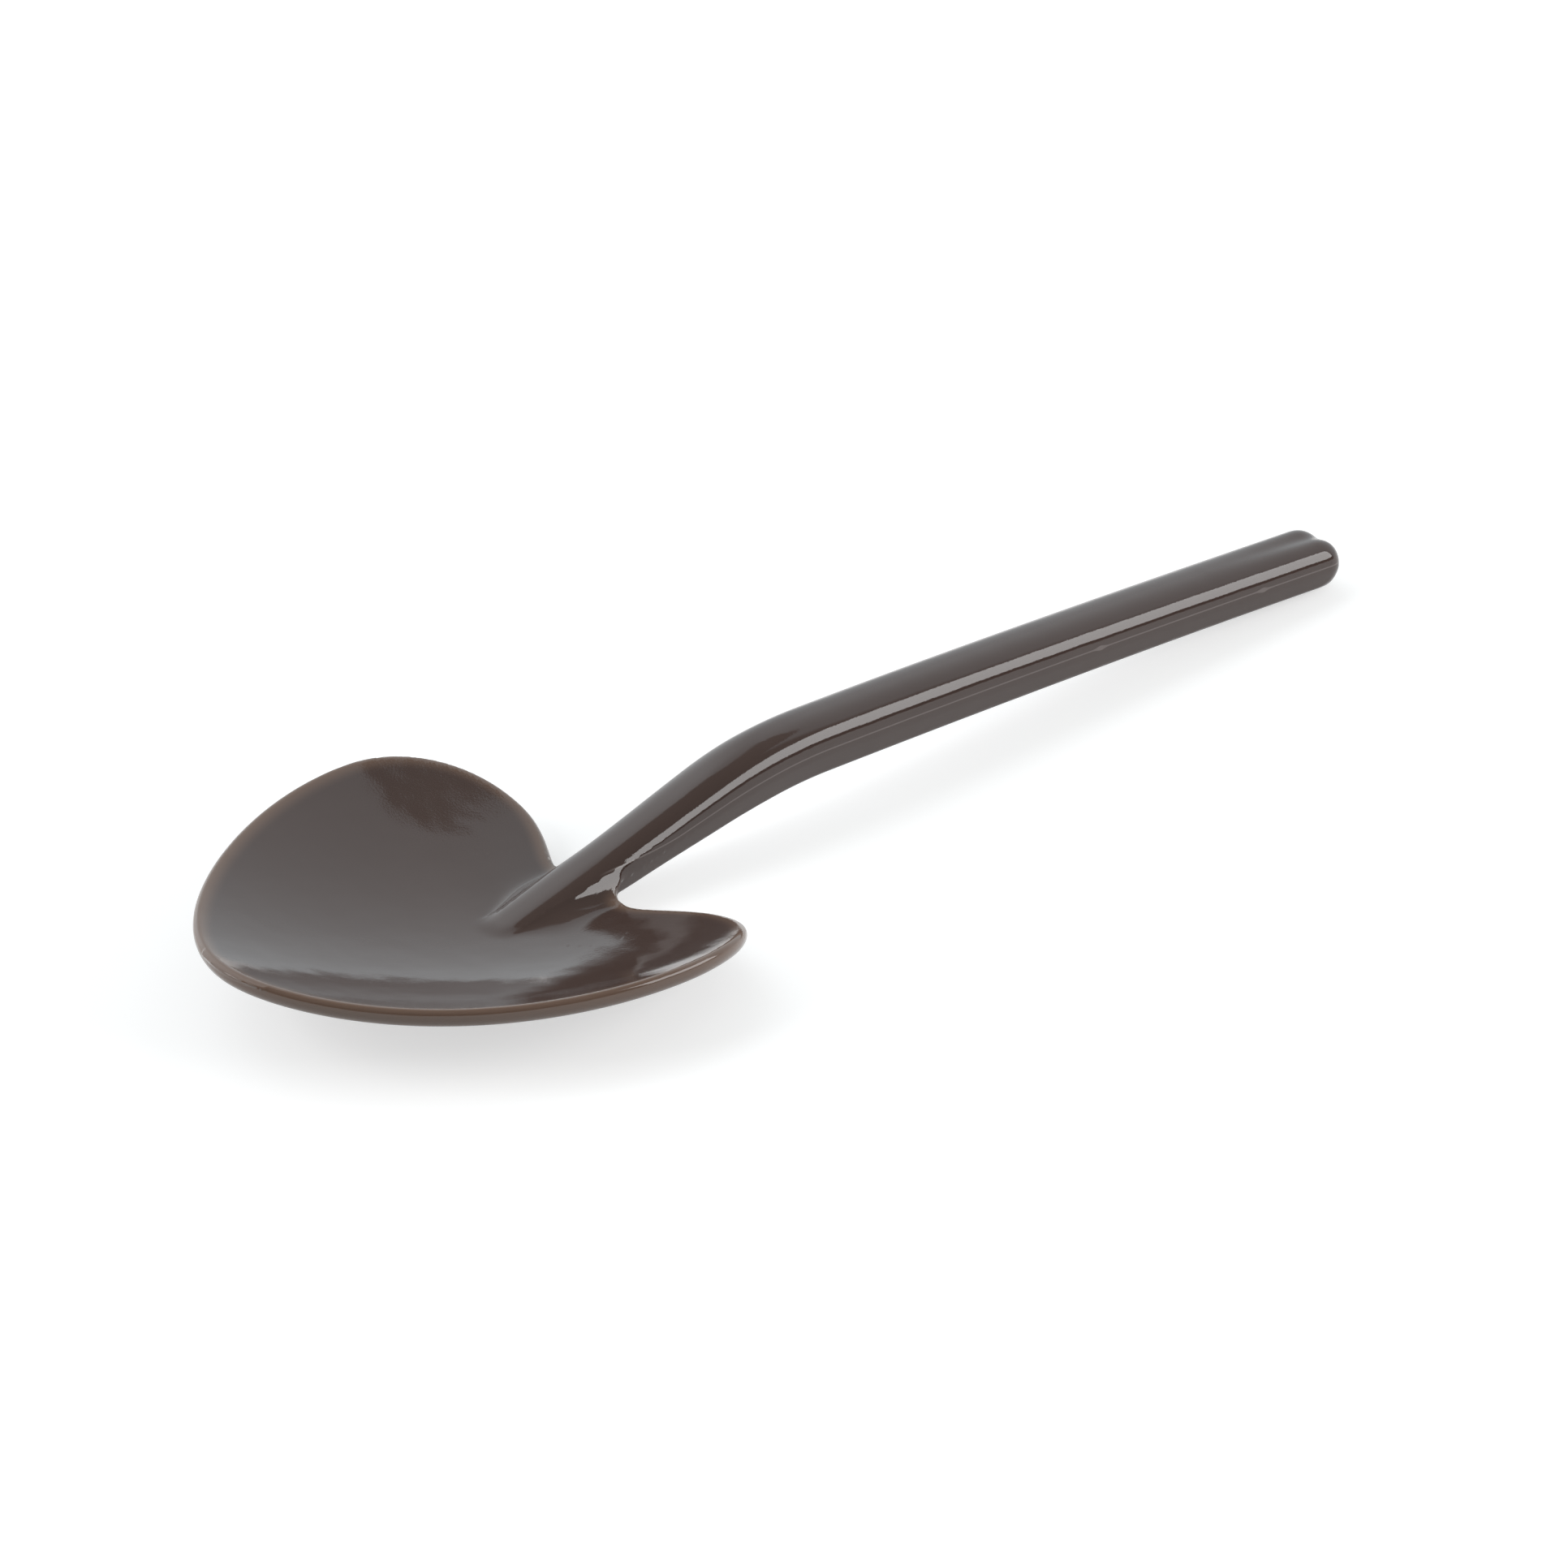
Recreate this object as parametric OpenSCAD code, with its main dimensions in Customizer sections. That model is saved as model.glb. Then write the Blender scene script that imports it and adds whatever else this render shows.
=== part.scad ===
// Amuse bouche spoon, moulded in one piece from opaque plastic.
// The dish has a leaf-shaped plan with a cleft at its rear. The stem grows out of the dish's
// floor, passes through the cleft, rises to a bend and runs down to the table as the handle.
// The spoon stands as it rests: on the flat under the dish and on the handle's end.
// X runs from the dish's tip to the handle's end, Y across, and Z up from the table.

/* [Spoon] */
// Overall length, from the tip of the dish to the end of the handle
spoon_l = 140; // [125:1:155]
// Thickness of the dish, which is also the diameter of its full-round rim
wall = 1.7; // [1.3:0.1:2.1]

/* [Dish outline] */
// Length of the dish, from its tip to the rear of its lobes
dish_l = 47.2; // [43:0.5:51]
// Width of the dish at its widest
dish_w = 50.2; // [44:0.5:56]
// Distance from the tip to the widest place
widest_x = 34.3; // [30:0.5:37]
// Distance from the centre line to the rearmost point of a lobe
lobe_y = 13.9; // [12:0.5:16]
// Depth of the cleft, from the rear of the lobes
cleft_depth = 3.6; // [3:0.1:5]
// Radius of the notch's corner beside the stem, at the rim's centre line
notch_r = 1.2; // [1:0.05:1.6]
// Bluntness of the tip: the stretch that its curve runs straight across
tip_run = 9.4; // [7:0.2:12]
// Fullness of the sides in front of the widest place
side_run = 16.8; // [13:0.5:19]
// Fullness of the sides behind the widest place
shoulder_run = 5.8; // [4:0.1:7]
// Roundness of a lobe on its outer side
lobe_run = 6.8; // [5:0.1:8]
// Roundness of a lobe on the side of the cleft
cleft_run = 4.2; // [3:0.1:5]

/* [Dish form] */
// Radius of the dish across its width
cross_r = 49; // [42:0.5:60]
// Radius of the dish along its length, in front of its level floor
long_r = 80; // [68:1:95]
// Distance from the tip to the place where the floor becomes level
floor_x = 37; // [33:0.2:39]
// Depth of the flat on the underside that the dish stands on
flat_depth = 0.12; // [0.08:0.02:0.2]

/* [Stem] */
// Length of the stem inside the dish, from its buried root to the cleft
root_l = 13; // [11:0.2:15]
// Height of the stem's top over the table at the cleft
root_top = 4.85; // [4.4:0.05:5.4]
// Angle at which the stem rises from the dish
rise = 12.6; // [10:0.1:15]
// How much more steeply it rises at its buried root
dive = 2.6; // [1:0.1:4]
// Distance from the cleft to the bend
rise_l = 21.6; // [17:0.2:26]
// Length of the bend on each side of its corner
bend_run = 6.8; // [4:0.2:9]
// How far the handle bows up between the bend and its end
handle_bow = 0.3; // [0:0.05:1]

/* [Stem section] */
// Width of the stem at its buried root
nose_w = 4; // [3:0.1:5]
// Width of the stem at the cleft
root_w = 5.5; // [5:0.1:6.4]
// Height of the stem at the cleft
root_h = 4.6; // [4:0.1:5]
// Width of the stem at the bend
bend_w = 6.5; // [5.6:0.1:7.4]
// Height of the stem at the bend
bend_h = 6.2; // [5.4:0.1:7]
// Width of the handle at its end
end_w = 6.8; // [6:0.1:7.8]
// Height of the handle at its end
end_h = 5.4; // [4.6:0.1:6.2]
// Squareness of the section's upper half, where 2 is an ellipse
square = 2.5; // [2.2:0.1:3]
// Draft in degrees of the sides below their widest line
draft = 12; // [4:1:16]
// Height of the sharp lower edges over the lowest line of the underside
belly_h = 0.95; // [0.5:0.05:1.3]
// Length over which the handle's end is rounded
end_round = 1.9; // [1.4:0.1:2.8]

/* [Details] */
// Steepness in degrees of the stem's flanks near its root, where they run out into the floor
root_slope = 36; // [28:1:42]
// Steepness in degrees of the stem's flanks at the cleft
cleft_slope = 58; // [50:1:66]
// Length of the groove on top of the handle's end
groove_l = 17; // [12:0.5:24]
// Depth of the groove where it runs out of the end
groove_d = 0.7; // [0.4:0.05:1]
// Half-width of the groove
groove_w = 1; // [0.7:0.05:1.3]

/* [Hidden] */
taupe = [0.37, 0.33, 0.31];

rim_r = wall / 2;
cleft_x = dish_l - cleft_depth - rim_r;
// Lead-in of the outline to the notch, and the run of the control points round its corner
cleft_lead = [0, 2.6];
notch_run = 0.55 * notch_r;
// The spokes of the dish meet over the stem's root
hub = [cleft_x - root_l, 0];
// The stem's underside stays this high inside the dish's wall
bury = wall / 4;

// Steps along each stretch of the outline, and rings on each face of the dish and round its rim
outline_steps = [20, 12, 8, 5];
face_rings = 9;
rim_steps = 8;
// Steps along each stretch of the stem, points round its section and steps round its end
stem_steps = [14, 8, 18];
section_points = 32;
end_steps = 7;
last_end_angle = 84;
// Squareness of the end's lower half, seen from the side
under_square = 7;
// A flank grows steeper over this stretch in front of the cleft, and behind it over the stretch
// in which it turns into the stem's own side
flank_lead = 7;
flank_fade = 12;
side_slope = 84;
// A flank falls off with this power of the distance, ends sunk in the dish's wall, and starts
// where it stands as high as it is sunk
flank_power = 4;
flank_sink = wall / 4;
flank_end = cleft_x + 8;
// The corner of the notch cuts a flank off between these two places on the rim's rounding
notch_start = cleft_x + rim_r / 3;
notch_end = cleft_x + rim_r;
flank_stations = [22, 6, 12];
flank_steps = 10;
// The groove's trough starts this far above the handle, widens to this many half-widths on each
// side, and deepens with this power of the distance
groove_lift = 0.05;
groove_reach = 2.4;
groove_power = 1.5;
groove_stations = 12;
groove_points = 12;
// How far a cutting shape runs past the surface that it cuts
overcut = 1;

function lerp(a, b, t) = a + (b - a) * t;
function unit(v) = v / norm(v);
function clamp(t) = max(0, min(1, t));
function ease(t) = let (u = clamp(t)) u * u * (3 - 2 * u);
// A Bezier curve through any number of control points
function bezier(p, t) =
    len(p) == 1 ? p[0]
    : bezier([for (i = [0 : len(p) - 2]) lerp(p[i], p[i + 1], t)], t);
function curve(p, steps) = [for (i = [0 : steps - 1]) bezier(p, i / steps)];

// Half of the rim's centre line in plan, from the tip to the cleft
tip = [rim_r, 0];
side = [widest_x, dish_w / 2 - rim_r];
lobe = [dish_l - rim_r, lobe_y];
cleft = [cleft_x, root_w / 2 + notch_r];
beside = [cleft_x + notch_r, root_w / 2 - rim_r / 2];
half_rim = concat(
    curve([tip, tip + [0, tip_run], side - [side_run, 0], side], outline_steps[0]),
    curve([side, side + [shoulder_run, 0], lobe + [0, lobe_run], lobe], outline_steps[1]),
    curve([lobe, lobe - [0, cleft_run], cleft + cleft_lead, cleft], outline_steps[2]),
    curve([cleft, cleft - [0, notch_run], beside - [notch_run, 0], beside], outline_steps[3]),
    [beside]
);
half_n = len(half_rim);
rim = concat(half_rim, [for (i = [half_n - 1 : -1 : 1]) [half_rim[i].x, -half_rim[i].y]]);
rim_n = len(rim);

// The dish's middle surface: curved across everywhere, and along in front of the level floor
function ahead(x) = max(0, floor_x - x);
function dish_z(p) =
    rim_r - flat_depth + pow(ahead(p.x), 2) / (2 * long_r) + pow(p.y, 2) / (2 * cross_r);
function dish_normal(p) = unit([ahead(p.x) / long_r, -p.y / cross_r, 1]);
function on_dish(p) = [p.x, p.y, dish_z(p)];
// The underside is cut off level where the spoon stands on the table
function above_table(p) = [p.x, p.y, max(0, p.z)];
function dish_face(p, offset) = above_table(on_dish(p) + dish_normal(p) * offset);
function dish_top(x, y) = dish_z([x, y]) + rim_r;

// Direction out of the rim, square to it and along the dish's surface
function rim_out(i) =
    let (along = on_dish(rim[(i + 1) % rim_n]) - on_dish(rim[(i + rim_n - 1) % rim_n]))
        unit(cross(dish_normal(rim[i]), along));
function rim_point(i, angle) =
    above_table(on_dish(rim[i])
        + (dish_normal(rim[i]) * cos(angle) + rim_out(i) * sin(angle)) * rim_r);

// A closed solid through a list of rings, with a fan over each end
module loft(rings) {
    m = len(rings);
    n = len(rings[0]);
    points = concat([for (r = rings) each r], [mean(rings[0]), mean(rings[m - 1])]);
    sides = [
        for (k = [0 : m - 2], i = [0 : n - 1])
            let (j = (i + 1) % n, a = k * n, b = a + n)
                each [[a + i, b + i, b + j], [a + i, b + j, a + j]]
    ];
    caps = [
        for (i = [0 : n - 1])
            let (j = (i + 1) % n, last = (m - 1) * n)
                each [[m * n, i, j], [m * n + 1, last + j, last + i]]
    ];
    polyhedron(points, concat(sides, caps));
}
function mean(ring) = [for (c = [0 : 2]) [for (p = ring) p[c]] * [for (p = ring) 1] / len(ring)];

module dish() {
    top_rings = [
        for (k = [1 : face_rings])
            [for (p = rim) dish_face(lerp(hub, p, k / (face_rings + 1)), rim_r)]
    ];
    rim_rings = [for (k = [0 : rim_steps]) [for (i = [0 : rim_n - 1]) rim_point(i, 180 * k / rim_steps)]];
    under_rings = [
        for (k = [face_rings : -1 : 1])
            [for (p = rim) dish_face(lerp(hub, p, k / (face_rings + 1)), -rim_r)]
    ];
    loft(concat(top_rings, rim_rings, under_rings));
}

// The stem's centre line: a rise that starts a little steeper, a bend round its corner, and a
// slightly bowed handle
root_mid = [cleft_x, root_top - root_h / 2 / cos(rise)];
nose_mid = root_mid - root_l * [1, tan(rise + dive)];
corner = root_mid + rise_l * [1, tan(rise)];
// Under this point the handle touches the table, and from here its end is rounded
heel = [spoon_l - end_round, end_h / 2];
bow_point = (corner + heel) / 2 + [0, 2 * handle_bow];
bend_start = corner - bend_run * unit(corner - root_mid);
bend_end = corner + bend_run * unit(bow_point - corner);
end_way = unit(heel - bow_point);
spine = concat(
    curve([nose_mid, root_mid, bend_start], stem_steps[0]),
    curve([bend_start, corner, bend_end], stem_steps[1]),
    curve([bend_end, bow_point, heel], stem_steps[2])
);
spine_way = [
    for (i = [0 : len(spine) - 1])
        i == 0 ? unit(root_mid - nose_mid)
        : i == len(spine) - 1 ? end_way
        : unit(spine[i + 1] - spine[i - 1])
];

// Width and height of the section at a distance from the dish's tip
function stem_w(x) =
    x < cleft_x ? lerp(nose_w, root_w, ease((x - nose_mid.x) / root_l))
    : x < corner.x ? lerp(root_w, bend_w, ease((x - cleft_x) / rise_l))
    : lerp(bend_w, end_w, ease((x - corner.x) / (heel.x - corner.x)));
function stem_h(x) =
    x < cleft_x ? root_h
    : x < corner.x ? lerp(root_h, bend_h, ease((x - cleft_x) / rise_l))
    : lerp(bend_h, end_h, ease((x - corner.x) / (heel.x - corner.x)));

// One upright section, as thick as its height says square to the centre line, with its underside
// kept inside the dish's wall. Its upper half is a superellipse. Its lower half has straight sides
// with draft, sharp lower edges and a shallow belly between them.
function section(mid, way, scale = 1, under_scale = 1) =
    let (
        up = stem_h(mid.x) / 2 / way.x,
        down = mid.x < cleft_x + rise_l ? min(up, mid.y - bury) : up,
        half_w = stem_w(mid.x) / 2,
        level = mid.y + (up - down) / 2,
        half_h = (up + down) / 2,
        belly = min(belly_h, half_h / 2),
        edge_w = half_w - tan(draft) * (half_h - belly)
    )
    concat(
        [
            for (i = [0 : section_points / 2])
                let (
                    t = 360 * i / section_points,
                    u = half_w * scale * sign(cos(t)) * pow(abs(cos(t)), 2 / square)
                )
                    [mid.x, u, level + half_h * scale * pow(sin(t), 2 / square)]
        ],
        [
            for (i = [0 : section_points / 2 - 2])
                let (s = 2 * i / (section_points / 2 - 2) - 1)
                    [mid.x, edge_w * scale * s, max(0, level - under_scale * (half_h - belly * s * s))]
        ]
    );
end_angles = [for (k = [0 : end_steps]) last_end_angle * k / end_steps];
stem_sections = concat(
    [for (i = [0 : len(spine) - 1]) section(spine[i], spine_way[i])],
    [
        for (t = end_angles)
            let (
                share = pow(sin(t), 2 / square),
                scale = pow(cos(t), 2 / square),
                under_scale = pow(1 - pow(share, under_square), 1 / under_square)
            )
            section(heel + end_way * end_round * share, end_way, scale, under_scale)
    ]
);

// A flat outline in space, for use inside hull()
module outline_in_space(points) polyhedron(points, [[for (i = [0 : len(points) - 1]) i]]);

module stem() {
    for (i = [0 : len(stem_sections) - 2])
        hull() {
            outline_in_space(stem_sections[i]);
            outline_in_space(stem_sections[i + 1]);
        }
}

// Heights of the stem's top and underside at a distance from the dish's tip
function stem_top(x) = lookup(x, [for (r = stem_sections) [r[0].x, r[section_points / 4].z]]);
function stem_underside(x) =
    lookup(x, [for (r = stem_sections) [r[0].x, r[section_points * 3 / 4].z]]);

// Steepness of a flank where it leaves the stem's section
function flank_slope(x) =
    x < cleft_x ? lerp(root_slope, cleft_slope, ease((x - cleft_x + flank_lead) / flank_lead))
    : lerp(cleft_slope, side_slope, (x - cleft_x) / flank_fade);
// Half-width and height at which the section is as steep as that
function flank_edge(x) =
    let (
        half_w = stem_w(x) / 2,
        half_h = (stem_top(x) - stem_underside(x)) / 2,
        across = pow(tan(flank_slope(x)) * half_w / half_h, 1 / (square - 1)),
        up = pow(1 + pow(across, square), -1 / square)
    )
    [half_w * across * up, stem_underside(x) + half_h * (1 + up)];
function flank_floor(x) = dish_top(x, stem_w(x) / 2) - flank_sink;
function flank_height(x) = flank_edge(x).y - flank_floor(x);
flank_start = [for (x = [hub.x : flank_sink / 4 : cleft_x]) if (flank_height(x) > flank_sink) x][0];
// How far a flank reaches: to the floor in the dish, then round the corner of the notch, and
// behind that to the stem's side
function flank_reach(x) =
    let (
        foot = flank_edge(x).x + flank_power * flank_height(x) / tan(flank_slope(x)),
        corner = stem_w(x) / 2 + notch_r * (1 - ease((x - notch_start) / 2 / notch_r))
    )
    min(foot, lerp(foot, corner, ease((x - notch_start) / (notch_end - notch_start))));
function flank_section(x) =
    let (
        edge = flank_edge(x),
        height = flank_height(x),
        reach = flank_reach(x),
        whole = flank_power * height / tan(flank_slope(x)),
        stem_middle = (stem_top(x) + stem_underside(x)) / 2,
        base = lerp(dish_z([x, edge.x]), stem_middle, ease((x - cleft_x) / (2 * notch_r)))
    )
    concat(
        [
            for (k = [0 : flank_steps])
                let (y = lerp(edge.x, reach, k / flank_steps), left = 1 - (y - edge.x) / whole)
                    [x, y, dish_top(x, y) - flank_sink + height * pow(max(0, left), flank_power)]
        ],
        [[x, reach, base], [x, edge.x / 2, base], [x, edge.x / 2, edge.y]]
    );
module flank() {
    loft([
        for (x = concat(
            [for (k = [0 : flank_stations[2] - 1]) lerp(flank_end, notch_end, k / flank_stations[2])],
            [for (k = [0 : flank_stations[1] - 1]) lerp(notch_end, notch_start, k / flank_stations[1])],
            [for (k = [0 : flank_stations[0]]) lerp(notch_start, flank_start, k / flank_stations[0])]
        ))
            flank_section(x)
    ]);
}

// The cutting shape of the groove: a rounded trough that deepens towards the handle's end
module groove_trough() {
    start = spoon_l - groove_l;
    reach = groove_reach * groove_w;
    loft([
        for (k = [0 : groove_stations])
            let (
                x = lerp(start, spoon_l + overcut, k / groove_stations),
                top = stem_top(min(x, heel.x)) + max(0, x - heel.x) * end_way.y / end_way.x,
                depth = groove_lift + groove_d * pow((x - start) / groove_l, groove_power)
            )
            concat(
                [[x, reach, top + overcut], [x, -reach, top + overcut]],
                [
                    for (i = [0 : groove_points])
                        let (y = lerp(-reach, reach, i / groove_points))
                            [x, y, top + groove_lift - depth * exp(-pow(y / groove_w, 2))]
                ]
            )
    ]);
}

module spoon() {
    color(taupe)
        difference() {
            union() {
                dish();
                stem();
                flank();
                mirror([0, 1, 0]) flank();
            }
            groove_trough();
        }
}

translate([-spoon_l / 2, 0, 0]) spoon();
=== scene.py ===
# Looks of the amuse bouche spoon: a fine mesh of its one moulded body, its plastic, and the studio
from math import cos, pi, radians, sin, tan

import bpy
import numpy as np
from mathutils import Matrix, Vector


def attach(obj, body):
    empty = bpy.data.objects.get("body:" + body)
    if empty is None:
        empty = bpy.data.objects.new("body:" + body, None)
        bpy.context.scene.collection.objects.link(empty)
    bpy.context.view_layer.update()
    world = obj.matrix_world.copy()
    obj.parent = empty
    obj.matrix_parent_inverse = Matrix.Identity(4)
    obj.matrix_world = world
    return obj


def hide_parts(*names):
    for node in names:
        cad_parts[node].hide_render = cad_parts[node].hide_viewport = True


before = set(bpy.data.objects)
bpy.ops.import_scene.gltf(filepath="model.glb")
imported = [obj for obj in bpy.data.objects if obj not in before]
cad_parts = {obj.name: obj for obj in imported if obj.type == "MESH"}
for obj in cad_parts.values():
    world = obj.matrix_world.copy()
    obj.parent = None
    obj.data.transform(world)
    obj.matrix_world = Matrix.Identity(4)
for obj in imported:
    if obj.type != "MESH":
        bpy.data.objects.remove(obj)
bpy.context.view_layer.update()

MM = 0.001

# Sizes of the spoon in millimetres, from the part's source, with the handle's end and groove fitted
# more closely: x runs from the dish's tip to the handle's end, y across and z up from the table
SPOON_L = 140
WALL = 1.7
DISH_L, DISH_W, WIDEST_X = 47.2, 50.2, 34.3
LOBE_Y, CLEFT_DEPTH, NOTCH_R = 13.9, 3.6, 1.2
TIP_RUN, SIDE_RUN, SHOULDER_RUN, LOBE_RUN, CLEFT_RUN, CLEFT_LEAD = 9.4, 16.8, 5.8, 6.8, 4.2, 2.6
CROSS_R, LONG_R, FLOOR_X, FLAT_DEPTH = 49, 80, 37, 0.12
ROOT_L, ROOT_TOP, RISE, DIVE, RISE_L = 13, 4.85, 12.6, 2.6, 21.6
BEND_RUN, HANDLE_BOW = 6.8, 0.3
NOSE_W, ROOT_W, BEND_W, END_W = 4, 5.5, 6.5, 6.8
ROOT_H, BEND_H, END_H = 4.6, 6.18, 5.4
GROOVE_L, GROOVE_D, GROOVE_W, GROOVE_POWER = 17, 0.5, 1.2, 1.5
RIM_R = WALL / 2
CLEFT_X = DISH_L - CLEFT_DEPTH - RIM_R
# This and BEND_H, which is 0.02 less than in the part's source, keep the mesh inside the part's box
TIP_SET_BACK = 0.02

# Power of the superellipse that is the upper half of the stem's section. In its lower half: the
# draft of the sides in degrees, the height over which that starts, how high the lower edges stand
# over the lowest line, and their radius
SQUARE, DRAFT, DRAFT_EASE, BELLY_H, LOWER_EDGE_R = 2.5, 12, 0.3, 0.95, 0.15
# The handle's end is rounded over this length at its widest line, and more at its top, and its
# lower edge is softer over a stretch before the end
END_ROUND, END_TOP_ROUND = 2.5, 3
END_EDGE_R, END_EDGE_L = 1.4, 4
# The stem's underside stays this high inside the dish's wall, and eases into that over a length
BURY, BURY_EASE = WALL / 4, 0.6

# Steepness of the stem's flanks in degrees, the stretches over which it changes, and how deep the
# flanks run into the dish's wall and into the stem's sides
ROOT_SLOPE, CLEFT_SLOPE, SIDE_SLOPE, FLANK_LEAD, FLANK_FADE, FLANK_POWER = 36, 58, 84, 7, 12, 4
FLANK_SINK, FLANK_INSET = WALL / 4, 0.05
# Small fillets: between dish and stem, at the flanks' upper edge, and round the notch's edge
FILLET_R, CREASE_R, EDGE_R = 0.5, 0.15, 0.3

# The painted highlight, lighter and redder than the body, grows over these lengths towards the rim
# and the handle's end
EDGE_FADE, END_FADE = 1.6, 0.8
# The parting line is drawn as a painted highlight, a pale line standing in for its fine flash ridge
# The parting line runs this far over the stem's widest line, and higher at the cleft, behind which
# it fades in. Two nicks on it, at these places along x, make it wider
SEAM_H, SEAM_CLEFT_H, SEAM_EASE, SEAM_START_L, SEAM_W = 0.48, 1.5, 10, 2, 0.1
NICK_X, NICK_W, NICK_L = (106.1, 128.1), 0.18, 0.6

# Step of the grid that the body is meshed on, how far it reaches past the body, and the body's
# highest point
GRID = 0.3
GRID_MARGIN, HIGHEST = 1.2, 10.1
# How many times the mesh is drawn onto the surface, and the least slope squared that it is led by
SETTLE_STEPS, LEAST_SLOPE = 3, 0.1
# Samples of each stretch of the stem's middle line, first guesses for a nearest point on a curve,
# and the steps that refine it
CURVE_SAMPLES, NEAREST_STARTS, NEAREST_STEPS = 4000, 25, 4
# Handle of a Bezier quarter circle, as a share of its radius
QUARTER_ARC = 0.55
TINY = 1e-9


def ease(t):
    """Smooth step from 0 to 1."""
    t = np.clip(t, 0, 1)
    return t * t * (3 - 2 * t)


def lerp(a, b, t):
    return a + (b - a) * t


def smooth_min(a, b, reach):
    """The smaller of two values, with a rounded change from one to the other."""
    h = np.clip(0.5 + 0.5 * (b - a) / reach, 0, 1)
    return lerp(b, a, h) - reach * h * (1 - h)


def bezier(points, t):
    """A point of the Bezier curve for each t, one row for each."""
    rows = [np.tile(np.asarray(p, float), (len(t), 1)) for p in points]
    while len(rows) > 1:
        rows = [a + (b - a) * t[:, None] for a, b in zip(rows, rows[1:])]
    return rows[0]


def hodograph(points):
    """Control points of a Bezier curve's derivative."""
    return [np.subtract(b, a) * (len(points) - 1) for a, b in zip(points, points[1:])]


def outline_stretches():
    """Half of the rim's centre line in plan: tip, side, lobe, cleft, and notch beside the stem."""
    tip = np.array((RIM_R + TIP_SET_BACK, 0))
    side = np.array((WIDEST_X, DISH_W / 2 - RIM_R))
    lobe = np.array((DISH_L - RIM_R, LOBE_Y))
    cleft = np.array((CLEFT_X, ROOT_W / 2 + NOTCH_R))
    beside = np.array((CLEFT_X + NOTCH_R, ROOT_W / 2 - RIM_R / 2))
    arc = QUARTER_ARC * NOTCH_R
    return [
        (tip, tip + (0, TIP_RUN), side - (SIDE_RUN, 0), side),
        (side, side + (SHOULDER_RUN, 0), lobe + (0, LOBE_RUN), lobe),
        (lobe, lobe - (0, CLEFT_RUN), cleft + (0, CLEFT_LEAD), cleft),
        (cleft, cleft - (0, arc), beside - (arc, 0), beside),
        (beside, beside * (1, 0)),
    ]


def outline_distance(x, y):
    """Distance in plan to the rim's centre line, below zero inside, and the way out from it."""
    q = np.c_[x, np.abs(y)]
    best, out = np.full(len(q), np.inf), np.zeros_like(q)
    starts = np.linspace(0, 1, NEAREST_STARTS)
    for points in outline_stretches():
        first = hodograph(points)
        second = hodograph(first) if len(first) > 1 else [np.zeros(2)]
        samples = bezier(points, starts)
        t = starts[np.argmin(((q[:, None, :] - samples) ** 2).sum(2), axis=1)]
        for _ in range(NEAREST_STEPS):
            off, way = bezier(points, t) - q, bezier(first, t)
            curve = (way * way + off * bezier(second, t)).sum(1)
            t = np.clip(t - (off * way).sum(1) / np.maximum(curve, 1), 0, 1)
        off, way = q - bezier(points, t), bezier(first, t)
        distance = np.hypot(*off.T)
        side = np.where(way[:, 0] * off[:, 1] > way[:, 1] * off[:, 0], 1, -1)
        closer = distance < np.abs(best)
        best[closer] = (side * distance)[closer]
        out[closer] = (off * (side / np.maximum(distance, TINY))[:, None])[closer]
    return best, out[:, 0], out[:, 1] * np.sign(y)


def dish_middle(x, y):
    """Height of the dish's middle surface."""
    ahead = np.maximum(0, FLOOR_X - x)
    return RIM_R - FLAT_DEPTH + ahead ** 2 / (2 * LONG_R) + y ** 2 / (2 * CROSS_R)


def unit(v):
    return v / np.hypot(*v)


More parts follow.
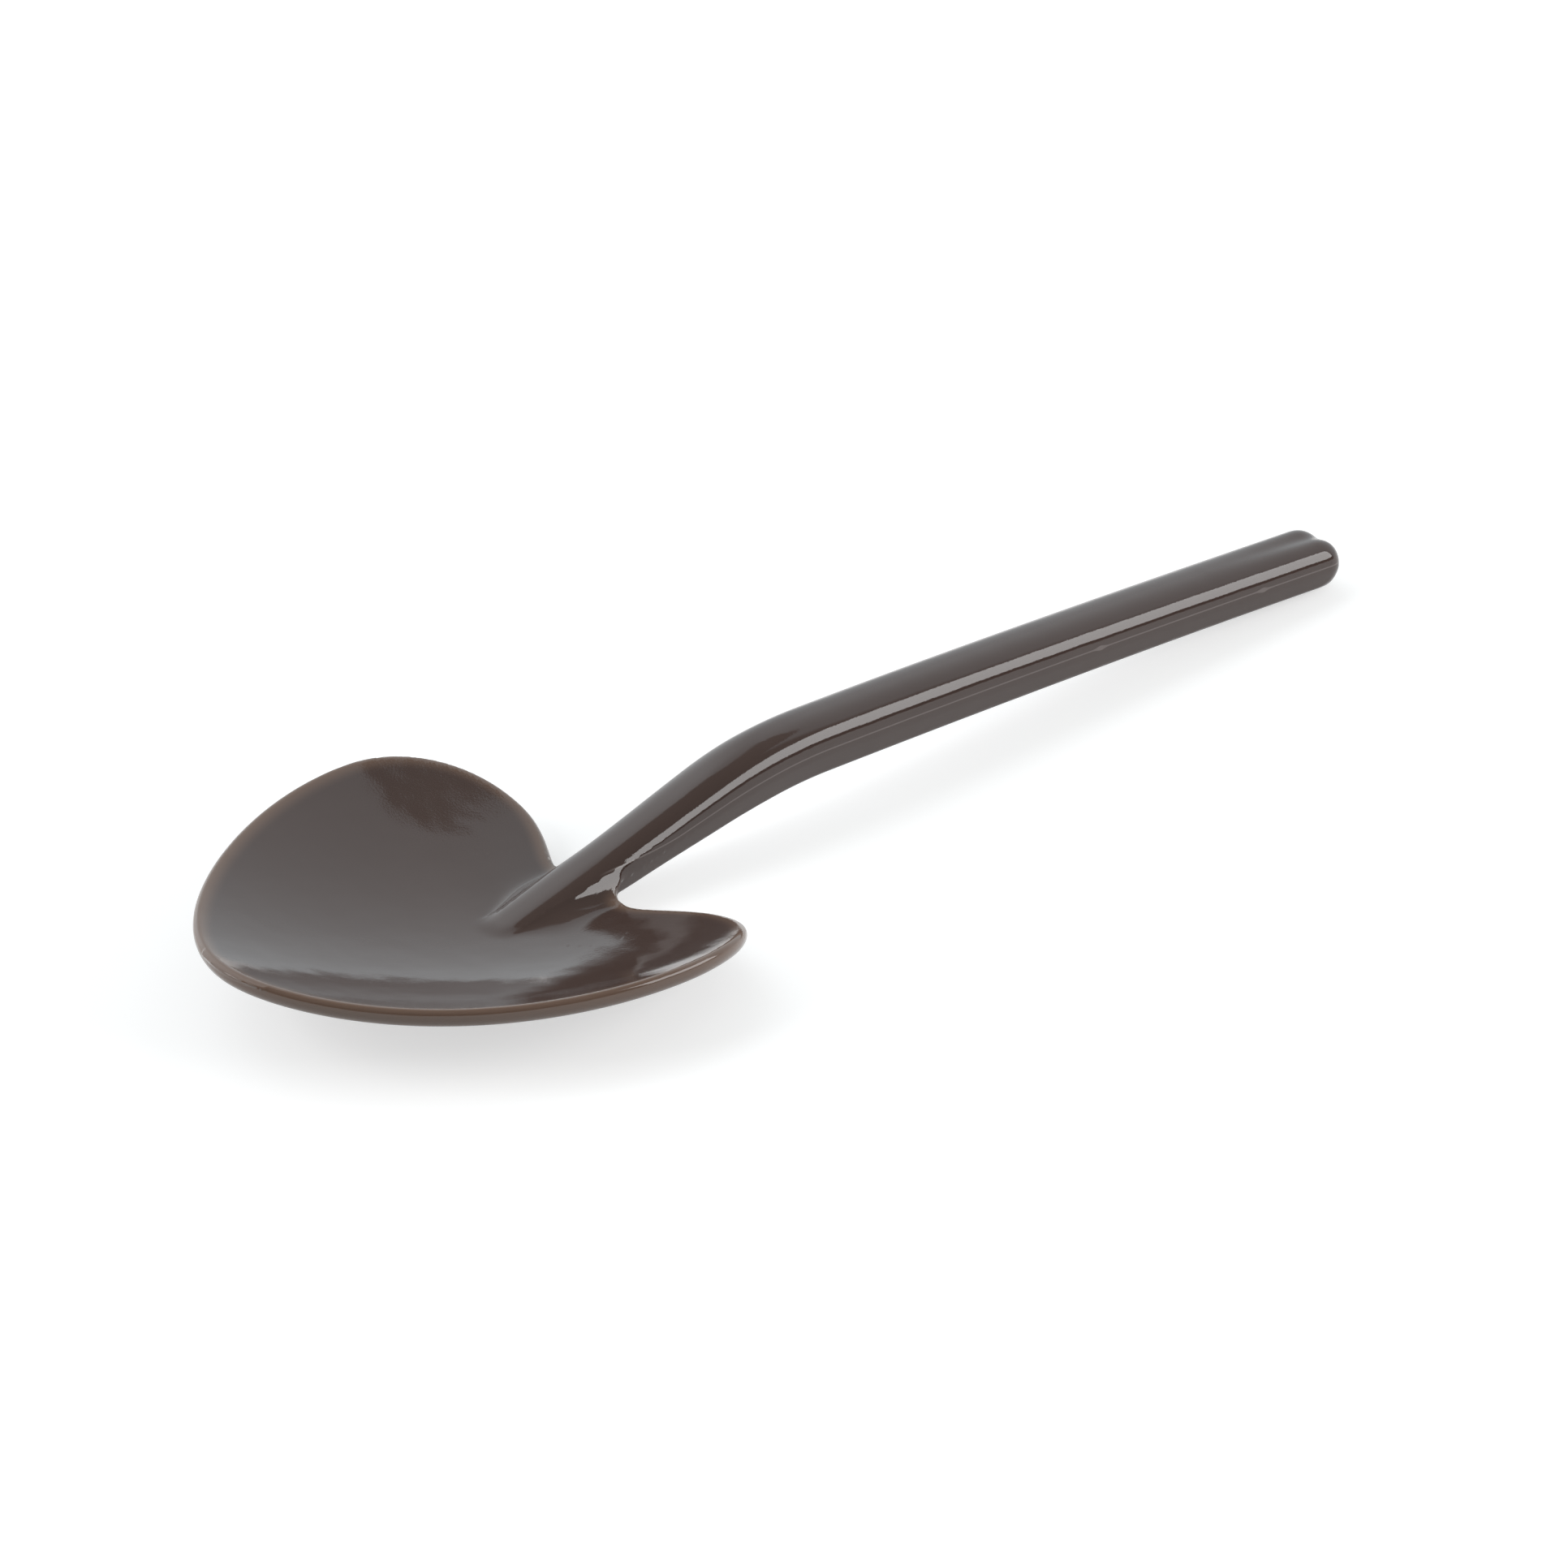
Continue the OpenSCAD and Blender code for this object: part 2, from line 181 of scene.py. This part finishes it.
def stem_tables():
    """Along the stem's x: middle height, half-width and half-height, and where a flank starts."""
    rise_way = np.array((1, tan(radians(RISE))))
    root = np.array((CLEFT_X, ROOT_TOP - ROOT_H / 2 / cos(radians(RISE))))
    nose = root - ROOT_L * np.array((1, tan(radians(RISE + DIVE))))
    corner = root + RISE_L * rise_way
    heel = np.array((SPOON_L - END_ROUND, END_H / 2))
    bow = (corner + heel) / 2 + (0, 2 * HANDLE_BOW)
    bend_start = corner - BEND_RUN * unit(rise_way)
    bend_end = corner + BEND_RUN * unit(bow - corner)
    beyond = heel + 2 * END_ROUND * unit(heel - bow)
    t = np.linspace(0, 1, CURVE_SAMPLES)[1:]
    stretches = [
        (nose, root, bend_start), (bend_start, corner, bend_end), (bend_end, bow, heel),
        (heel, beyond),
    ]
    x, z = np.vstack([bezier(points, t) for points in stretches]).T

    def along(at_nose, at_root, at_bend, at_end):
        in_dish = lerp(at_nose, at_root, ease((x - nose[0]) / ROOT_L))
        rising = lerp(at_root, at_bend, ease((x - CLEFT_X) / RISE_L))
        handle = lerp(at_bend, at_end, ease((x - corner[0]) / (heel[0] - corner[0])))
        return np.where(x < CLEFT_X, in_dish, np.where(x < corner[0], rising, handle)) / 2

    up = along(ROOT_H, ROOT_H, BEND_H, END_H) * np.hypot(1, np.gradient(z, x))
    down = np.where(x < corner[0], smooth_min(up, z - BURY, BURY_EASE), up)
    half_w = along(NOSE_W, ROOT_W, BEND_W, END_W)
    mid, half_h = z + (up - down) / 2, (up + down) / 2
    # A flank leaves the section where this is as steep as the flank
    angle = np.where(
        x < CLEFT_X, lerp(ROOT_SLOPE, CLEFT_SLOPE, ease((x - CLEFT_X + FLANK_LEAD) / FLANK_LEAD)),
        np.minimum(SIDE_SLOPE, lerp(CLEFT_SLOPE, SIDE_SLOPE, (x - CLEFT_X) / FLANK_FADE)))
    steep = np.tan(np.radians(angle))
    across = (steep * half_w / half_h) ** (1 / (SQUARE - 1))
    rise = (1 + across ** SQUARE) ** (-1 / SQUARE)
    flank_z = mid + rise * half_h
    height = flank_z - dish_middle(x, half_w) - RIM_R + FLANK_SINK
    flank_run = np.maximum(height, FLANK_SINK) / steep
    return dict(
        x=x, mid=mid, half_w=half_w, half_h=half_h, nose_x=nose[0],
        flank_y=across * rise * half_w, flank_z=flank_z, flank_run=flank_run)


STEM = stem_tables()


def dish_distance(x, y, z, plan, out_x, out_y):
    """Distance to the dish: a curved sheet of even thickness with a full-round rim."""
    ahead = np.maximum(0, FLOOR_X - x)
    middle = dish_middle(x, y)
    slope_x, slope_y = -ahead / LONG_R, y / CROSS_R
    off = np.abs(z - middle) / np.sqrt(1 + slope_x ** 2 + slope_y ** 2)
    past_rim = np.maximum(0, plan) * np.hypot(1, out_x * slope_x + out_y * slope_y)
    return np.hypot(past_rim, off) - RIM_R


def superellipse_distance(terms):
    """Distance to a superellipse or ellipsoid; each term is a length and the half-axis along it."""
    powers = [(np.maximum(0, length) / half) ** (SQUARE - 1) for length, half in terms]
    shares = [np.maximum(0, length) / half for length, half in terms]
    r = np.maximum(sum(p * s for p, s in zip(powers, shares)) ** (1 / SQUARE), TINY)
    steep = np.sqrt(sum((p / half) ** 2 for p, (_, half) in zip(powers, terms))) * r ** (1 - SQUARE)
    return (r - 1) / np.maximum(steep, 1 / SPOON_L)


def stem_at(x, *names):
    """Values of the stem's tables at each x."""
    return [np.interp(x, STEM["x"], STEM[name]) for name in names]


def stem_distance(x, y, z):
    """Distance to the stem and handle, from the section's two halves."""
    mid, half_w, half_h = stem_at(x, "mid", "half_w", "half_h")
    along_groove = np.clip((x - SPOON_L + GROOVE_L) / GROOVE_L, 0, 1)
    groove = GROOVE_D * along_groove ** GROOVE_POWER * np.exp(-(y / GROOVE_W) ** 2)
    above, below = np.maximum(0, z - mid), np.maximum(0, mid - z)
    end = lerp(END_ROUND, END_TOP_ROUND, ease(above / half_h))
    upper = superellipse_distance([
        (np.abs(y), half_w), (above + groove, half_h), (x - SPOON_L + end, end),
    ])
    inset = (np.hypot(below, DRAFT_EASE) - DRAFT_EASE) * tan(radians(DRAFT))
    sides = superellipse_distance([
        (np.abs(y) + inset, half_w), (x + inset - SPOON_L + END_ROUND, END_ROUND),
    ])
    belly = np.minimum(BELLY_H, half_h / 2)
    edge_w = half_w - tan(radians(DRAFT)) * (half_h - belly)
    under = below - half_h + belly * (y / edge_w) ** 2
    under /= np.hypot(1, 2 * belly * y / edge_w ** 2)
    edge_r = lerp(LOWER_EDGE_R, END_EDGE_R, ease((x - SPOON_L + END_EDGE_L) / END_EDGE_L))
    lower = -smooth_min(-under, -sides * cos(radians(DRAFT)), edge_r)
    return np.maximum(np.where(z < mid, lower, upper), STEM["nose_x"] - x)


def flank_distance(x, y, z, cut):
    """Distance to the flanks that lead from the stem's shoulders down to the dish's floor."""
    edge_y, edge_z, run, stem_mid = stem_at(x, "flank_y", "flank_z", "flank_run", "mid")
    floor = dish_middle(x, y) + RIM_R - FLANK_SINK
    height = np.maximum(0, edge_z - floor)
    left = 1 - (np.abs(y) - edge_y) / (FLANK_POWER * run)
    share = np.clip(left, 0, 1)
    above = z - floor - height * share ** FLANK_POWER
    above /= np.hypot(1, height * share ** (FLANK_POWER - 1) / run)
    below = lerp(floor, stem_mid, ease((x - CLEFT_X) / (2 * NOTCH_R))) - z
    beyond = np.maximum(-left * FLANK_POWER * run, x - CLEFT_X - FLANK_FADE)
    return np.maximum(np.maximum(below, beyond), -smooth_min(-above, -cut, EDGE_R))


def spoon_distance(x, y, z, plan, out_x, out_y):
    """Distance to the whole body, with small fillets between its forms, cut level at the table."""
    side = np.abs(y) - stem_at(x, "half_w")[0] + FLANK_INSET
    cut = smooth_min(plan - RIM_R, side, NOTCH_R)
    stem = smooth_min(stem_distance(x, y, z), flank_distance(x, y, z, cut), CREASE_R)
    dish = dish_distance(x, y, z, plan, out_x, out_y)
    return np.maximum(smooth_min(dish, stem, FILLET_R), -z)


def distance_and_slope(p, step=0.01):
    """The body's distance at each point, and its gradient by central differences."""
    x, y, z = p.T
    plan, out_x, out_y = outline_distance(x, y)
    value = spoon_distance(x, y, z, plan, out_x, out_y)
    slope = np.empty_like(p)
    for axis, change in enumerate((out_x, out_y, 0)):
        ends = []
        for side in (step, -step):
            q = p.copy()
            q[:, axis] += side
            ends.append(spoon_distance(*q.T, plan + side * change, out_x, out_y))
        slope[:, axis] = (ends[0] - ends[1]) / (2 * step)
    return value, slope


def surface_nets(field, origin, step):
    """Points in the cells that the surface crosses, and a quad for each crossed grid edge."""
    inside = field < 0
    corners = [(i, j, k) for i in (0, 1) for j in (0, 1) for k in (0, 1)]

    def at(array, corner):
        return array[tuple(slice(c, n - 1 + c) for c, n in zip(corner, array.shape))]

    count = sum(at(inside, c).astype(np.int8) for c in corners)
    crossed = (count > 0) & (count < 8)
    index = np.full(crossed.shape, -1)
    index[crossed] = np.arange(crossed.sum())
    total, hits = np.zeros((crossed.sum(), 3)), np.zeros(crossed.sum())
    for low in corners:
        for axis in range(3):
            if low[axis]:
                continue
            high = tuple(1 if i == axis else c for i, c in enumerate(low))
            a, b = at(field, low)[crossed], at(field, high)[crossed]
            hit = (a < 0) != (b < 0)
            point = np.tile(np.array(low, float), (len(a), 1))
            point[:, axis] += np.where(hit, a / np.where(hit, a - b, 1), 0)
            total += point * hit[:, None]
            hits += hit
    points = (np.argwhere(crossed) + total / hits[:, None]) * step + origin
    quads = []
    for axis in range(3):
        across = [i for i in range(3) if i != axis]
        low = [slice(1, -1)] * 3
        high = list(low)
        low[axis], high[axis] = slice(0, -1), slice(1, None)
        start, end = inside[tuple(low)], inside[tuple(high)]
        cell = np.argwhere(start != end)
        cell[:, across] += 1

        def vertex(i, j):
            moved = cell.copy()
            moved[:, across] -= (i, j)
            return index[tuple(moved.T)]

        quad = np.c_[vertex(0, 0), vertex(1, 0), vertex(1, 1), vertex(0, 1)]
        flip = end[start != end] != (axis == 1)
        quad[flip] = quad[flip][:, ::-1]
        quads.append(quad)
    return points, np.vstack(quads)


def body_mesh():
    """Points, normals and quads of the whole body, in millimetres from the dish's tip."""
    low = np.array((-GRID_MARGIN, -DISH_W / 2 - GRID_MARGIN, -GRID_MARGIN))
    high = np.array((SPOON_L + GRID_MARGIN, DISH_W / 2 + GRID_MARGIN, HIGHEST + GRID_MARGIN))
    x, y, z = (np.arange(a, b, GRID) for a, b in zip(low, high))
    y += -(y[0] + y[-1]) / 2
    flat_x, flat_y = (a.ravel() for a in np.meshgrid(x, y, indexing="ij"))
    plan = [a.reshape(len(x), len(y), 1) for a in outline_distance(flat_x, flat_y)]
    grid = np.meshgrid(x, y, z, indexing="ij")
    points, quads = surface_nets(spoon_distance(*grid, *plan), (x[0], y[0], z[0]), GRID)
    for _ in range(SETTLE_STEPS):
        value, slope = distance_and_slope(points)
        points -= slope * (value / np.maximum((slope ** 2).sum(1), LEAST_SLOPE))[:, None]
    slope = distance_and_slope(points)[1]
    return points, slope / np.linalg.norm(slope, axis=1)[:, None], quads


def rim_highlight_share(points):
    """How near each point is to the rim of the dish or the handle's end, from 1 there to 0: the
    painted highlight's share.
    """
    x, y = points.T[:2]
    plan = outline_distance(x, y)[0]
    off_stem = np.maximum(np.abs(y) - stem_at(x, "half_w")[0], STEM["nose_x"] - x)
    rim = ease(1 + (plan - RIM_R / 2) / EDGE_FADE) * ease(off_stem / EDGE_FADE)
    return np.where(x > DISH_L, ease(1 + (x - SPOON_L) / END_FADE), rim)


def over_seam(points):
    """Height over the parting line in millimetres, and a constant over zero away from the stem."""
    x, y, z = points.T
    mid, half_w = stem_at(x, "mid", "half_w")
    seam = mid + lerp(SEAM_H, SEAM_CLEFT_H, ease((CLEFT_X + SEAM_EASE - x) / SEAM_EASE))
    return np.where(np.abs(y) > half_w + FILLET_R, 1, z - seam)


def nick_share(points):
    """How near each point is to a nick along x, from 1 at its middle to 0."""
    return sum(np.exp(-((points[:, 0] - x) / NICK_L) ** 2) for x in NICK_X)


def to_frame(points):
    """From millimetres from the dish's tip to metres in the part's frame."""
    return (np.asarray(points) - (SPOON_L / 2, 0, 0)) * MM


def add_object(name, points, faces, material, smooth=True):
    mesh = bpy.data.meshes.new(name)
    mesh.from_pydata(np.asarray(points).tolist(), [], np.asarray(faces).tolist())
    mesh.polygons.foreach_set("use_smooth", [smooth] * len(mesh.polygons))
    mesh.materials.append(material)
    mesh.validate()
    thing = bpy.data.objects.new(name, mesh)
    bpy.context.scene.collection.objects.link(thing)
    return thing


# Nodes and materials

# Colours are in linear light. The plastic's two clouds differ little
TAUPE_DARK, TAUPE_LIGHT = (0.058, 0.0368, 0.0312, 1), (0.064, 0.0406, 0.0344, 1)
# Both are painted highlights: lighter and redder at the rim and the handle's end, and pale on the
# parting line
RIM_HIGHLIGHT_COLOUR, SEAM_HIGHLIGHT_COLOUR = (0.15, 0.095, 0.07, 1), (0.24, 0.2, 0.19, 1)
# Share of the seam's painted highlight colour on its line, and the part of its width that has it
# all
SEAM_HIGHLIGHT_SHARE, SEAM_CORE = 0.5, 1 / 4
# Detail of the surface: noise scales, and heights in metres
CLOUD_SCALE, WAVE_SCALE, GRAIN_SCALE = 90.0, 260.0, 4500.0
WAVE_H, GRAIN_H, GRAIN_STRENGTH = 0.00004, 0.00002, 0.2
# How bright the floor glows to the eye, gloss and glass, on top of the light that it gets
FLOOR_GLOW = 0.58


def new_material(name):
    material = bpy.data.materials.new(name)
    material.use_nodes = True
    tree = material.node_tree
    return material, tree, tree.nodes["Principled BSDF"]


def add_node(tree, kind, inputs=None, **settings):
    """A node with its settings and inputs; an input is a value or the socket that feeds it."""
    node = tree.nodes.new(kind)
    for key, value in settings.items():
        setattr(node, key, value)
    for key, value in (inputs or {}).items():
        if isinstance(value, bpy.types.NodeSocket):
            tree.links.new(value, node.inputs[key])
        else:
            node.inputs[key].default_value = value
    return node


def maths(tree, operation, *values):
    """Result of one operation on values or sockets."""
    return add_node(tree, "ShaderNodeMath", dict(enumerate(values)), operation=operation).outputs[0]


def mix_colours(tree, share, a, b):
    return add_node(tree, "ShaderNodeMix", {0: share, 6: a, 7: b}, data_type="RGBA").outputs[2]


def fade(tree, value, zero, one, most=1.0, kind="SMOOTHSTEP"):
    """From 0 where the value is at or past zero to the most where it is at or past one."""
    ends = {0: value, 1: zero, 2: one, 4: most}
    return add_node(tree, "ShaderNodeMapRange", ends, interpolation_type=kind).outputs[0]


def noise(tree, place, scale, detail):
    inputs = {"Vector": place, "Scale": scale, "Detail": detail}
    return add_node(tree, "ShaderNodeTexNoise", inputs).outputs["Fac"]


def seam_highlight(tree, place):
    """Share of the painted highlight along the parting line, with its nicks."""
    over, nick = (
        add_node(tree, "ShaderNodeAttribute", attribute_name=name).outputs["Fac"]
        for name in ("seam", "nick"))
    away = maths(tree, "MULTIPLY_ADD", nick, -NICK_W, maths(tree, "ABSOLUTE", over))
    line = fade(tree, away, SEAM_W, SEAM_W * SEAM_CORE, SEAM_HIGHLIGHT_SHARE, "LINEAR")
    along = add_node(tree, "ShaderNodeSeparateXYZ", {0: place}).outputs["X"]
    start = (CLEFT_X - SPOON_L / 2) * MM
    behind = fade(tree, along, start, start + SEAM_START_L * MM, kind="LINEAR")
    return maths(tree, "MULTIPLY", line, behind)


def plastic():
    """Glossy taupe plastic; painted highlights: the dish's thin edge lighter and redder, the
    parting line pale.
    """
    material, tree, shader = new_material("taupe_plastic")
    place = add_node(tree, "ShaderNodeTexCoord").outputs["Object"]
    colour = mix_colours(tree, noise(tree, place, CLOUD_SCALE, 3.0), TAUPE_DARK, TAUPE_LIGHT)
    # Painted highlight: lighter and redder towards the rim and the handle's end
    edge = add_node(tree, "ShaderNodeAttribute", attribute_name="edge").outputs["Fac"]
    colour = mix_colours(tree, edge, colour, RIM_HIGHLIGHT_COLOUR)
    # Painted highlight: a pale line along the parting line's flash ridge
    colour = mix_colours(tree, seam_highlight(tree, place), colour, SEAM_HIGHLIGHT_COLOUR)
    tree.links.new(colour, shader.inputs["Base Color"])
    shader.inputs["Roughness"].default_value = 0.06
    shader.inputs["IOR"].default_value = 1.5
    waves = add_node(tree, "ShaderNodeBump", {
        "Height": noise(tree, place, WAVE_SCALE, 1.0), "Strength": 1.0, "Distance": WAVE_H,
    })
    grain = add_node(tree, "ShaderNodeBump", {
        "Height": noise(tree, place, GRAIN_SCALE, 2.0), "Strength": GRAIN_STRENGTH,
        "Distance": GRAIN_H, "Normal": waves.outputs["Normal"],
    })
    tree.links.new(grain.outputs["Normal"], shader.inputs["Normal"])
    return material


def floor_material():
    """Pale floor; the eye, gloss and glass see it brighter, while it lights nothing more."""
    material, tree, shader = new_material("pale_floor")
    shader.inputs["Base Color"].default_value = (0.55, 0.55, 0.55, 1)
    shader.inputs["Roughness"].default_value = 0.9
    shader.inputs["Specular IOR Level"].default_value = 0.0
    shader.inputs["Emission Color"].default_value = (1, 1, 1, 1)
    rays = add_node(tree, "ShaderNodeLightPath").outputs
    seen = maths(tree, "ADD", rays["Is Camera Ray"], rays["Is Glossy Ray"])
    seen = maths(tree, "ADD", seen, rays["Is Transmission Ray"])
    glow = maths(tree, "MULTIPLY", seen, FLOOR_GLOW)
    tree.links.new(glow, shader.inputs["Emission Strength"])
    return material


# Studio

FLOOR_HALF = 10
WALL_COLOUR, BRIGHT_COLOUR = (0.84, 0.92, 0.96, 1), (1.45, 1.55, 1.6, 1)
ROOM_COLOUR, CEILING_COLOUR = (0.05, 0.05, 0.05, 1), (0.25, 0.26, 0.25, 1)
# Each pair is where a share is 0 and where it is 1. Azimuths in degrees, from +X towards +Y: the
# wall's right and left ends, its bright stretch, and the stretch where the ceiling's edge is high
WALL_RIGHT, WALL_LEFT, BRIGHT_FROM, HIGH_FROM = (-34, -16), (150, 135), (52, 72), (40, 50)
# Sines of the elevations of the ceiling's low and high edge. The low one falls by this much with
# each radian of azimuth
LOW_CEILING, HIGH_CEILING, CEILING_FALL = (0.835, 0.829), (0.94, 0.91), 0.1
# Elevations in degrees between which the dark room turns into the ceiling
ROOM_TOP = (15, 45)


def add_floor():
    corners = [(x * FLOOR_HALF, y * FLOOR_HALF, 0) for x, y in ((-1, -1), (1, -1), (1, 1), (-1, 1))]
    add_object("floor", corners, [(0, 1, 2, 3)], floor_material(), smooth=False)


def add_world():
    """A pale wall behind the spoon, brighter at the left, in a dark room with a dark ceiling."""
    world = bpy.data.worlds.new("studio")
    bpy.context.scene.world = world
    world.use_nodes = True
    tree = world.node_tree
    way = add_node(tree, "ShaderNodeTexCoord").outputs["Generated"]
    way = add_node(tree, "ShaderNodeSeparateXYZ", {0: way}).outputs
    azimuth = maths(tree, "ARCTAN2", way["Y"], way["X"])

    def turn(pair):
        return fade(tree, azimuth, *(radians(angle) for angle in pair))

    fallen = maths(tree, "MULTIPLY_ADD", azimuth, CEILING_FALL, way["Z"])
    high = maths(tree, "MULTIPLY", turn(HIGH_FROM), fade(tree, way["Z"], *HIGH_CEILING))
    below_ceiling = maths(tree, "MAXIMUM", fade(tree, fallen, *LOW_CEILING), high)
    wall = maths(tree, "MULTIPLY", turn(WALL_RIGHT), turn(WALL_LEFT))
    wall = maths(tree, "MULTIPLY", wall, below_ceiling)
    pale = mix_colours(tree, turn(BRIGHT_FROM), WALL_COLOUR, BRIGHT_COLOUR)
    rise = fade(tree, way["Z"], *(sin(radians(angle)) for angle in ROOM_TOP))
    dark = mix_colours(tree, rise, ROOM_COLOUR, CEILING_COLOUR)
    tree.links.new(mix_colours(tree, wall, dark, pale), tree.nodes["Background"].inputs["Color"])


def add_softbox(name, azimuth, elevation, width, height, distance=1.2, radiance=5.4):
    """A rectangular light that faces the spoon, in degrees and metres."""
    data = bpy.data.lights.new(name, "AREA")
    data.shape = "RECTANGLE"
    data.size, data.size_y = width, height
    data.energy = radiance * pi * width * height
    light = bpy.data.objects.new(name, data)
    a, e = radians(azimuth), radians(elevation)
    light.location = Vector((cos(a) * cos(e), sin(a) * cos(e), sin(e))) * distance
    light.rotation_euler = light.location.to_track_quat("Z", "Y").to_euler()
    bpy.context.scene.collection.objects.link(light)


def add_camera():
    """The photograph's view, worked out from the outlines of the rim and the handle."""
    azimuth, elevation, roll = radians(-42.028), radians(29.447), radians(-0.041)
    target, distance = Vector((0.001994, 0.004568, 0)), 0.89827
    back = Vector((sin(azimuth) * cos(elevation), -cos(azimuth) * cos(elevation), sin(elevation)))
    data = bpy.data.cameras.new("camera")
    data.lens = 216.44
    camera = bpy.data.objects.new("camera", data)
    camera.location = target + back * distance
    level = (-back).to_track_quat("-Z", "Y").to_matrix()
    camera.rotation_euler = (level @ Matrix.Rotation(roll, 3, "Z")).to_euler()
    bpy.context.scene.collection.objects.link(camera)
    bpy.context.scene.camera = camera


def add_spoon():
    points, normals, quads = body_mesh()
    spoon = add_object("spoon_body", to_frame(points), quads, plastic())
    spoon.data.normals_split_custom_set_from_vertices(normals.tolist())
    # The first share lays the painted highlight on the rim; the seam and nick shares lay the one on
    # the parting line
    for name, values in (("edge", rim_highlight_share), ("seam", over_seam), ("nick", nick_share)):
        attribute = spoon.data.attributes.new(name, "FLOAT", "POINT")
        attribute.data.foreach_set("value", values(points))
    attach(spoon, "root")
    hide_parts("spoon")


bpy.context.scene.view_settings.view_transform = "Standard"
add_camera()
add_world()
add_softbox("softbox_right", azimuth=-50, elevation=25, width=1.0, height=0.64)
add_softbox("softbox_left", azimuth=150, elevation=30, width=0.6, height=0.6)
add_floor()
add_spoon()
